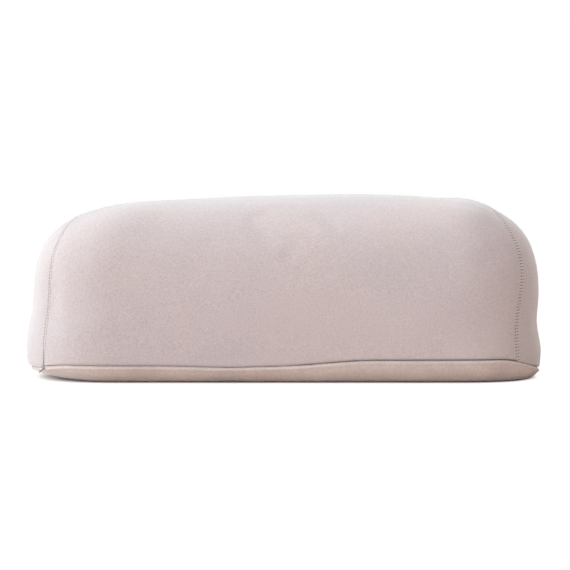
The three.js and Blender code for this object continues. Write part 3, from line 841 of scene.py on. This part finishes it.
# ---- Zip -----------------------------------------------------------------------------------------
TAPE_END = 4
TAPE_EDGE = 1
TAPE_MEET = 0.12  # the tapes close up beyond the stops
TAPE_WIDTHS = {"upper": 8, "lower": 5.5}
TAPE_THICKNESS = 0.6
COIL_PITCH = 1.5
COIL_WIRE = 0.3
slider_low, slider_high = (np.array(c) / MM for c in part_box("zip_slider"))
chain_low, chain_high = (np.array(c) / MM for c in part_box("zip_coil_upper"))


def tape_piece(label, direction):
    """A woven tape on the inner face of the knit, with shallow ridges running along it."""
    x = np.linspace(-ZIP_HALF - TAPE_END, ZIP_HALF + TAPE_END, 280)
    grid_x, share = np.meshgrid(x, np.linspace(0, 1, 14), indexing="ij")
    closed = smooth(ZIP_HALF - 3, ZIP_HALF + 0.5, np.abs(grid_x))
    edge = TAPE_EDGE + (TAPE_MEET - TAPE_EDGE) * closed
    grid_z = ZIP_Z + direction * (edge + (TAPE_WIDTHS[label] + TAPE_EDGE - edge) * share)
    depth = KNIT_THICKNESS + 0.3
    path = lambda r: (grid_x, CREST_Y + r, grid_z)
    outer = find_face(path, grid_x.shape, depth)
    outer[..., 1] += 0.12 * np.cos(np.linspace(0, 1, 14) * 2 * math.pi * 3)
    normals = grid_normals(outer)
    if normals[..., 1].mean() < 0:
        normals = -normals
    piece = sheet_piece("tape_" + label, outer, normals, TAPE_THICKNESS)
    orient(piece)
    return piece


def coil_piece(label, direction):
    """A nylon coil: flat oval turns that lean along the chain, splayed in the slider's mouth."""
    length = chain_high[0] - chain_low[0] - 2 * COIL_WIRE
    turns = int(length / COIL_PITCH)
    per_turn = 14
    t = np.arange(turns * per_turn + 1) / per_turn
    phase = 2 * math.pi * t + (math.pi if direction < 0 else 0)
    x = chain_low[0] + COIL_WIRE + length * t / turns
    slider_x = slider_low[0] + (slider_high[0] - slider_low[0]) / 2
    splay = 0.85 * (1 - smooth(slider_x - 2.4, slider_x + 0.8, x))
    half_y = (chain_high[1] - chain_low[1]) / 2 - COIL_WIRE
    y = (chain_high[1] + chain_low[1]) / 2 + half_y * np.sin(phase)
    z = 1.15 + splay - (0.95 - COIL_WIRE + 0.12) * np.cos(phase)
    line = np.stack([x, y, ZIP_Z + direction * z], 1)
    ahead = np.gradient(line, axis=0)
    ahead /= np.linalg.norm(ahead, axis=1)[:, None]
    lengthwise = np.array([1.0, 0, 0])
    one = np.cross(ahead, lengthwise)
    one /= np.linalg.norm(one, axis=1)[:, None]
    two = np.cross(ahead, one)
    sides = 7
    turn = 2 * math.pi * np.arange(sides + 1) / sides
    ring = one[:, None] * np.cos(turn)[None, :, None] + two[:, None] * np.sin(turn)[None, :, None]
    points = line[:, None] + ring[:, :-1] * COIL_WIRE
    rows = len(line)
    index = np.arange(rows * sides).reshape(rows, sides)
    index = np.concatenate([index, index[:, :1]], 1)
    a, b, c, d = index[:-1, :-1], index[1:, :-1], index[1:, 1:], index[:-1, 1:]
    faces = np.stack([k.ravel() for k in (a, b, c, d)], -1).tolist()
    faces += [index[0, :-1].tolist(), index[-1, :-1][::-1].tolist()]
    piece = make_mesh("coil_" + label, points.reshape(-1, 3), faces)
    orient(piece)
    return piece


tapes, coils = [], []
for direction, label in ((1, "upper"), (-1, "lower")):
    tape = tape_piece(label, direction)
    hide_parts("zip_tape_" + label)
    tapes.append(tape)
    coil = coil_piece(label, direction)
    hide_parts("zip_coil_" + label)
    coils.append(coil)
for piece in tapes + coils:
    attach(piece, "cushion")


# ---- Materials -----------------------------------------------------------------------------------
class Finish:
    """A material with a few node helpers. Sizes are in metres, as the object coordinates are."""

    def __init__(self, name, roughness, **constants):
        self.material = bpy.data.materials.new(name)
        self.material.use_nodes = True
        self.nodes = self.material.node_tree.nodes
        self.links = self.material.node_tree.links
        self.shader = self.nodes["Principled BSDF"]
        self.place = self.nodes.new("ShaderNodeTexCoord")
        self.shader.inputs["Roughness"].default_value = roughness
        for socket, value in constants.items():
            self.shader.inputs[socket.replace("_", " ")].default_value = value

    def link(self, source, target):
        self.links.new(source, target)

    def noise(self, scale, detail=3, roughness=0.6, stretch=None, source="Object"):
        made = self.nodes.new("ShaderNodeTexNoise")
        made.inputs["Scale"].default_value = scale
        made.inputs["Detail"].default_value = detail
        made.inputs["Roughness"].default_value = roughness
        vector = self.place.outputs[source]
        if stretch:
            turned = self.nodes.new("ShaderNodeMapping")
            turned.inputs["Scale"].default_value = stretch
            self.link(vector, turned.inputs["Vector"])
            vector = turned.outputs["Vector"]
        self.link(vector, made.inputs["Vector"])
        return made.outputs["Fac"]

    def wave(self, scale, direction, source="UV", distortion=0.0):
        made = self.nodes.new("ShaderNodeTexWave")
        made.bands_direction = direction
        made.inputs["Scale"].default_value = scale
        made.inputs["Distortion"].default_value = distortion
        self.link(self.place.outputs[source], made.inputs["Vector"])
        return made.outputs["Fac"]

    def ramp(self, value, stops):
        made = self.nodes.new("ShaderNodeValToRGB")
        elements = made.color_ramp.elements
        while len(elements) < len(stops):
            elements.new(0.5)
        for element, (position, colour) in zip(elements, stops):
            element.position = position
            element.color = (*colour, 1)
        self.link(value, made.inputs["Fac"])
        return made.outputs["Color"]

    def mix(self, kind, factor, a, b):
        made = self.nodes.new("ShaderNodeMix")
        made.data_type = "RGBA"
        made.blend_type = kind
        made.inputs["Factor"].default_value = factor
        self.link(a, made.inputs["A"])
        self.link(b, made.inputs["B"])
        return made.outputs["Result"]

    def add(self, *weighted):
        """The sum of values times weights."""
        total = None
        for value, weight in weighted:
            made = self.nodes.new("ShaderNodeMath")
            made.operation = "MULTIPLY_ADD"
            made.inputs[1].default_value = weight
            self.link(value, made.inputs[0])
            if total is None:
                made.inputs[2].default_value = 0
            else:
                self.link(total, made.inputs[2])
            total = made.outputs["Value"]
        return total

    def colour(self, source):
        self.link(source, self.shader.inputs["Base Color"])

    def relief(self, height, depth, strength=1.0):
        made = self.nodes.new("ShaderNodeBump")
        made.inputs["Strength"].default_value = strength
        made.inputs["Distance"].default_value = depth
        self.link(height, made.inputs["Height"])
        self.link(made.outputs["Normal"], self.shader.inputs["Normal"])


def shade(colour, share):
    return tuple(c * share for c in colour)


def knit_finish(name, colour, cloud_size, cool, warm):
    """Fine heathered jersey: pale and dark fibres mixed, in narrow wales of small loops."""
    made = Finish(name, 0.9, Specular_IOR_Level=0.2, Sheen_Weight=0.62, Sheen_Roughness=0.4)
    fibres = made.noise(760, 4, 0.72, (1, 1, 1.35))
    patches = made.noise(cloud_size, 3, 0.55)
    flecks = made.noise(1500, 2, 0.6)
    heather = made.ramp(
        fibres, [(0.3, shade(colour, 0.83)), (0.5, colour), (0.7, shade(colour, 1.16))]
    )
    tint = made.ramp(patches, [(0.35, cool), (0.65, warm)])
    wales = made.wave(330, "X", distortion=0.4)
    courses = made.wave(400, "Y", distortion=0.4)
    loops = made.add((wales, 0.22), (courses, 0.15), (fibres, 1.0), (flecks, 0.6))
    made.colour(made.mix("MULTIPLY", 1, heather, tint))
    made.relief(loops, 0.00022, 0.55)
    return made.material


KNIT_COLOUR = (0.525, 0.432, 0.438)
COVER_KNIT = knit_finish("cover_knit", KNIT_COLOUR, 16, (0.97, 0.97, 0.985), (1.02, 1.0, 0.985))
# The base panel is the same knit in a warmer, lighter colour: painted warm bounce light on the
# turned-under edge, not a different fabric.
WARM_BOUNCE_BASE_KNIT = knit_finish("base_knit_painted_bounce", (0.595, 0.478, 0.455), 30, (0.9, 0.87, 0.85), (1.05, 1.04, 1.03))
for name, piece in pieces.items():
    piece.data.materials.append(WARM_BOUNCE_BASE_KNIT if name == "base_panel" else COVER_KNIT)

THREAD_COLOUR = (0.70, 0.63, 0.61)
made = Finish("sewing_thread", 0.55, Sheen_Weight=0.2)
ply = made.noise(2600, 2, 0.5, (1, 1, 1))
made.colour(made.ramp(ply, [(0.3, shade(THREAD_COLOUR, 0.8)), (0.7, shade(THREAD_COLOUR, 1.12))]))
made.relief(ply, 0.00008, 0.6)
for piece in threads:
    piece.data.materials.append(made.material)

# Near-black painted shade: the shadow inside the needle holes, put on small discs at the stitch ends.
made = Finish("needle_hole_painted_shade", 1, Specular_IOR_Level=0.05)
shadow = made.noise(1500, 2)
made.colour(made.ramp(shadow, [(0.3, (0.05, 0.035, 0.03)), (0.7, (0.09, 0.07, 0.06))]))
for piece in hole_shades:
    piece.data.materials.append(made.material)

made = Finish("tape_weave", 0.8, Sheen_Weight=0.1)
ribs = made.wave(420, "X")
picks = made.wave(310, "Y")
weave = made.add((ribs, 0.5), (picks, 0.5))
made.colour(made.ramp(weave, [(0.2, (0.40, 0.335, 0.335)), (0.8, (0.52, 0.44, 0.44))]))
made.relief(weave, 0.00015, 0.7)
for piece in tapes:
    piece.data.materials.append(made.material)

made = Finish("coil_nylon", 0.38, Specular_IOR_Level=0.5)
cloud = made.noise(900, 2)
made.colour(made.ramp(cloud, [(0.3, (0.40, 0.335, 0.33)), (0.7, (0.50, 0.425, 0.42))]))
made.relief(cloud, 0.00003, 0.4)
for piece in coils:
    piece.data.materials.append(made.material)

made = Finish("zip_metal", 0.3, Metallic=1)
brush = made.noise(900, 3, 0.6, (0.15, 1, 1))
made.colour(made.ramp(brush, [(0.3, (0.50, 0.49, 0.48)), (0.7, (0.66, 0.65, 0.64))]))
made.link(
    made.ramp(brush, [(0.3, (0.24, 0.24, 0.24)), (0.7, (0.42, 0.42, 0.42))]),
    made.shader.inputs["Roughness"],
)
made.relief(brush, 0.00004, 0.4)
METAL = made.material

made = Finish("foam_cells", 0.95)
cells = made.noise(520, 4, 0.7)
made.colour(made.ramp(cells, [(0.35, (0.66, 0.60, 0.46)), (0.65, (0.80, 0.76, 0.64))]))
made.relief(cells, 0.0005, 0.8)
foam.data.materials.append(made.material)

made = Finish("liner_jersey", 0.9, Sheen_Weight=0.15)
loops = made.noise(900, 3, 0.6, (1, 1, 1.6))
made.colour(made.ramp(loops, [(0.3, (0.78, 0.77, 0.75)), (0.7, (0.88, 0.87, 0.86))]))
made.relief(loops, 0.0002, 0.6)
liner.data.materials.append(made.material)

made = Finish("label_satin", 0.4, Sheen_Weight=0.3)
threads_fine = made.noise(1200, 2, 0.5, (1, 0.1, 1))
made.colour(made.ramp(threads_fine, [(0.3, (0.84, 0.83, 0.80)), (0.7, (0.93, 0.92, 0.90))]))
made.relief(threads_fine, 0.00005, 0.5)
SATIN = made.material

METAL_NODES = (
    "zip_slider",
    "zip_pull_tab",
    "zip_bottom_stop",
    "zip_top_stop_upper",
    "zip_top_stop_lower",
)
for name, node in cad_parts.items():
    if name in METAL_NODES or name == "care_label":
        node.data.materials.clear()
        node.data.materials.append(SATIN if name == "care_label" else METAL)

# ---- Floor, light and camera ---------------------------------------------------------------------
FLOOR_GLOW = 0.94  # only the camera sees this glow: it whitens the floor away from the foot
GLOW_STRENGTH = 1.05
CONTACT = 0.012  # metres; the shadow reaches this far from the foot
OPEN_FROM, OPEN_TO = 0.04, 0.34  # share of open air above the floor where its glow begins and is full
FLOOR_HALF = 6000
corners = [(x * FLOOR_HALF, y * FLOOR_HALF, 0) for x, y in ((-1, -1), (1, -1), (1, 1), (-1, 1))]
floor = make_mesh("floor", corners, [(0, 1, 2, 3)])
made = Finish("floor", 1)
made.colour(made.ramp(made.noise(3, 2), [(0.3, (0.8, 0.7, 0.64)), (0.7, (0.82, 0.72, 0.66))]))
# The floor glows white for the camera only; near the foot ambient occlusion dims that glow, which
# paints the contact shade instead of casting it.
path = made.nodes.new("ShaderNodeLightPath")
open_air = made.nodes.new("ShaderNodeAmbientOcclusion")
open_air.inputs["Distance"].default_value = CONTACT
in_open = made.nodes.new("ShaderNodeMapRange")
in_open.inputs["From Min"].default_value = OPEN_FROM
in_open.inputs["From Max"].default_value = OPEN_TO
in_open.inputs["To Max"].default_value = FLOOR_GLOW
made.link(open_air.outputs["AO"], in_open.inputs["Value"])
share = made.nodes.new("ShaderNodeMath")
share.operation = "MULTIPLY"
made.link(path.outputs["Is Camera Ray"], share.inputs[0])
made.link(in_open.outputs["Result"], share.inputs[1])
glow = made.nodes.new("ShaderNodeEmission")
glow.inputs["Strength"].default_value = GLOW_STRENGTH
blend = made.nodes.new("ShaderNodeMixShader")
made.link(share.outputs["Value"], blend.inputs["Fac"])
made.link(made.shader.outputs["BSDF"], blend.inputs[1])
made.link(glow.outputs["Emission"], blend.inputs[2])
made.link(blend.outputs["Shader"], made.nodes["Material Output"].inputs["Surface"])
floor.data.materials.append(made.material)

# Brightness of the studio from left (0) to right (1), as a share of its strength.
WORLD_LEVELS = ((0, 0.85), (0.3, 0.42), (0.58, 0.37), (0.75, 0.11), (1, 0.05))
WORLD_TINTS = (
    (0.8, 0.97, 1),
    (0.9, 0.98, 1),
    (1, 0.97, 0.96),
    (1, 0.86, 0.75),
    (1, 0.82, 0.68),
)
WORLD_STRENGTH = 3.2  # from the front and above
REAR_STRENGTH = 1.6  # from behind
world = bpy.data.worlds.new("studio")
bpy.context.scene.world = world
world.use_nodes = True
nodes, links = world.node_tree.nodes, world.node_tree.links
place = nodes.new("ShaderNodeTexCoord")
split = nodes.new("ShaderNodeSeparateXYZ")
links.new(place.outputs["Generated"], split.inputs["Vector"])
across = nodes.new("ShaderNodeMapRange")
across.inputs["From Min"].default_value = -1
links.new(split.outputs["X"], across.inputs["Value"])
ramp = nodes.new("ShaderNodeValToRGB")
ramp.color_ramp.interpolation = "EASE"
stops = ramp.color_ramp.elements
while len(stops) < len(WORLD_LEVELS):
    stops.new(0.5)
for stop, (position, level), tint in zip(stops, WORLD_LEVELS, WORLD_TINTS):
    stop.position = position
    stop.color = (*shade(tint, level), 1)
links.new(across.outputs["Result"], ramp.inputs["Fac"])
links.new(ramp.outputs["Color"], nodes["Background"].inputs["Color"])
behind = nodes.new("ShaderNodeMapRange")
behind.inputs["To Min"].default_value = WORLD_STRENGTH
behind.inputs["To Max"].default_value = REAR_STRENGTH
links.new(split.outputs["Y"], behind.inputs["Value"])
links.new(behind.outputs["Result"], nodes["Background"].inputs["Strength"])
backdrop = nodes.new("ShaderNodeBackground")
backdrop.inputs["Color"].default_value = (1, 1, 1, 1)
path = nodes.new("ShaderNodeLightPath")
blend = nodes.new("ShaderNodeMixShader")
links.new(path.outputs["Is Camera Ray"], blend.inputs["Fac"])
links.new(nodes["Background"].outputs["Background"], blend.inputs[1])
links.new(backdrop.outputs["Background"], blend.inputs[2])
links.new(blend.outputs["Shader"], nodes["World Output"].inputs["Surface"])


def area_light(name, place, target, size, power, colour=(1, 1, 1)):
    lamp = bpy.data.lights.new(name, "AREA")
    lamp.shape = "RECTANGLE"
    lamp.size, lamp.size_y = size
    lamp.energy = power
    lamp.color = colour
    holder = bpy.data.objects.new(name, lamp)
    holder.location = place
    holder.rotation_mode = "QUATERNION"
    holder.rotation_quaternion = (Vector(target) - Vector(place)).to_track_quat("-Z", "Y")
    bpy.context.scene.collection.objects.link(holder)


area_light("key", (-1.8, -0.5, 0.8), (0, 0, 0.06), (1.6, 1.4), 15, (0.82, 0.97, 1))
area_light("top", (0, 0.25, 1.8), (0, 0, 0.06), (1.6, 1.2), 13, (0.92, 0.99, 1))

TARGET = Vector((1.7, 0, 62.9)) * MM
DISTANCE = 1300 * MM
ELEVATION = math.radians(2.25)
LENS, SENSOR_WIDTH = 104.7, 36
camera = bpy.data.objects.new("camera", bpy.data.cameras.new("camera"))
camera.data.lens = LENS
camera.data.sensor_width = SENSOR_WIDTH
toward = Vector((0, -math.cos(ELEVATION), math.sin(ELEVATION)))
camera.location = TARGET + toward * DISTANCE
camera.rotation_mode = "QUATERNION"
camera.rotation_quaternion = (-toward).to_track_quat("-Z", "Y")
bpy.context.scene.collection.objects.link(camera)
bpy.context.scene.camera = camera
bpy.context.scene.view_settings.view_transform = "Standard"
